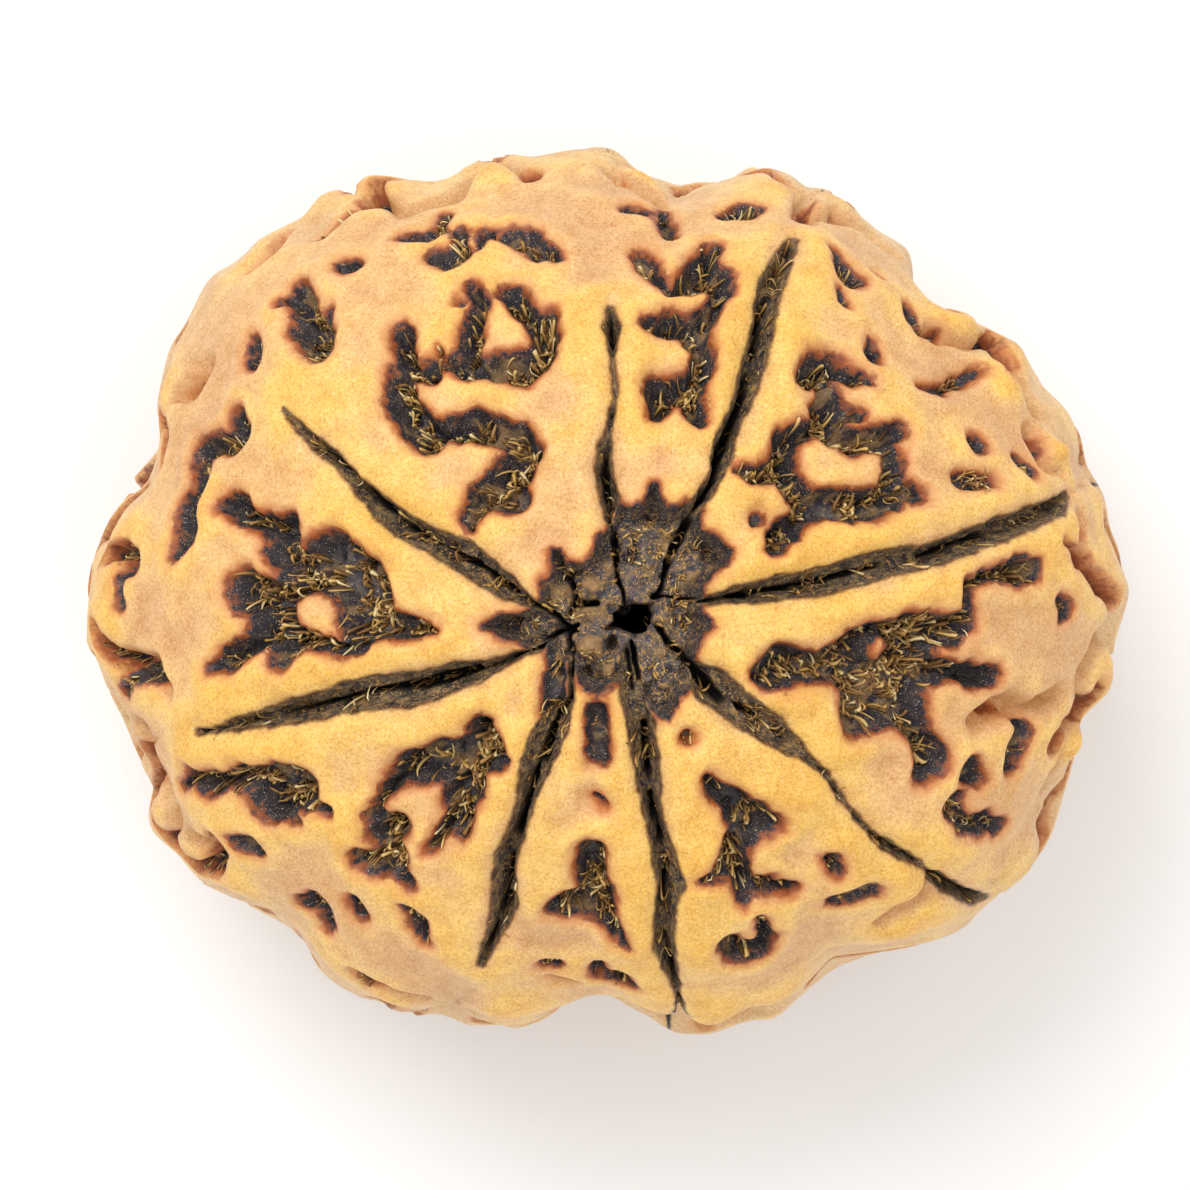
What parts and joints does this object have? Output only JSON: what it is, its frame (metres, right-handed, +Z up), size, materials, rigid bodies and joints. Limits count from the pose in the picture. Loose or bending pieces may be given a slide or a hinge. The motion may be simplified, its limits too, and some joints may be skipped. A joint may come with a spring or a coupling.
{
  "type": "rudraksha seed",
  "caption": "Whole rudraksha stone bead with radial clefts, knobbly ridged lobes, fibrous pits and a natural channel from pole to pole.",
  "frame": {"origin": "on the surface that the stone rests on, under the middle of its outline seen from above", "axes": "+Z up along the natural channel, out of the crown where the clefts meet; +X along the longest side"},
  "size_m": [0.026, 0.0222, 0.0195],
  "materials": {
    "stone_shell": "satin",
    "pulp_fibre": "matte"
  },
  "bodies": {
    "root": {"rudraksha_stone": "stone_shell"}
  },
  "joints": []
}
